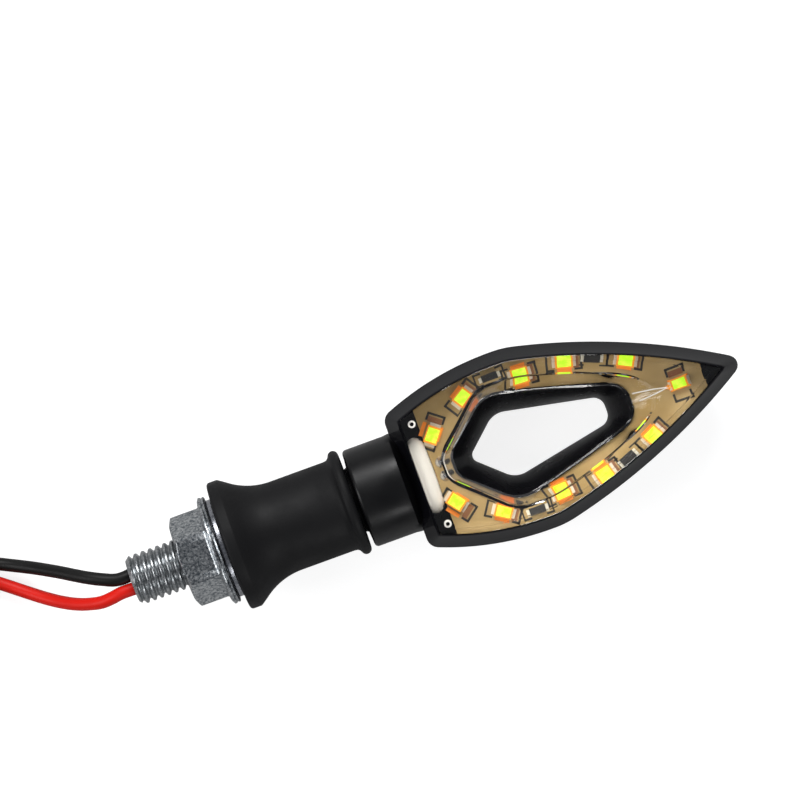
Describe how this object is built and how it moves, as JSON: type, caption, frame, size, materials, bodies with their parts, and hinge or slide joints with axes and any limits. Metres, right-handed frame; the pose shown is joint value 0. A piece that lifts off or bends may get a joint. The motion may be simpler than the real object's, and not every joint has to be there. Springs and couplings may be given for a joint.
{
  "type": "turn signal indicator",
  "caption": "Arrow-shaped motorcycle turn signal with a see-through head on a rubber stalk, fixed by a hollow threaded stud and nut, with two free leads.",
  "frame": {"origin": "on the stud's axis, where the flat foot of the rubber stalk meets the bracket", "axes": "+X along the stalk towards the tip of the head, +Z out of the lens, the part lying on its back"},
  "size_m": [0.1897, 0.0413, 0.0262],
  "materials": {
    "zinc_steel": "bright zinc plated, slightly dull",
    "stalk_rubber": "matt moulded rubber",
    "housing_plastic": "satin moulded plastic",
    "lens_plastic": "polished, faintly smoked",
    "gasket_rubber": "matt",
    "board_laminate": "solder mask, satin",
    "led_plastic": "moulded",
    "led_resin": "lit resin",
    "solder": "bright solder",
    "chip_ceramic": "glazed",
    "silicone": "cured silicone",
    "red_insulation": "extruded vinyl",
    "black_insulation": "extruded vinyl",
    "tie_nylon": "natural nylon",
    "sleeve_vinyl": "cloudy vinyl",
    "bullet_brass": "bright brass"
  },
  "bodies": {
    "mount": {"hollow_stud": "zinc_steel", "rubber_stalk": "stalk_rubber", "inner_red_lead": "red_insulation", "inner_black_lead": "black_insulation", "red_lead": "red_insulation", "black_lead": "black_insulation", "red_coil": "red_insulation", "black_coil": "black_insulation", "coil_tie": "tie_nylon", "red_sleeve": "sleeve_vinyl", "black_sleeve": "sleeve_vinyl", "red_bullet": "bullet_brass", "black_bullet": "bullet_brass"},
    "head": {"rear_housing": "housing_plastic", "lens": "lens_plastic", "lens_gasket": "gasket_rubber", "circuit_board": "board_laminate", "led_bodies": "led_plastic", "led_windows": "led_resin", "solder_pads": "solder", "resistors": "chip_ceramic", "lead_joints": "solder", "board_adhesive": "silicone", "wire_seal": "silicone"},
    "washer": {"flat_washer": "zinc_steel"},
    "nut": {"flange_nut": "zinc_steel"}
  },
  "joints": [
    {"name": "stalk_flex", "type": "hinge", "parent": "mount", "child": "head", "pos_m": [0.0135, 0, 0], "axis": [0, 0, 1], "range_deg": [-20, 20], "stiffness_Nm_per_rad": 0.6, "deforming": ["rubber_stalk", "inner_red_lead", "inner_black_lead"]},
    {"name": "nut_travel", "type": "slide", "parent": "mount", "child": "washer", "axis": [-1, 0, 0], "range_m": [0, 0.00899]},
    {"name": "nut_spin", "type": "hinge", "parent": "washer", "child": "nut", "pos_m": [0, 0, 0], "axis": [-1, 0, 0], "range_deg": [0, 2160]}
  ],
  "couplings": [
    {"joint": "nut_spin", "follows": "nut_travel", "rad_per_m": 4188.8}
  ]
}
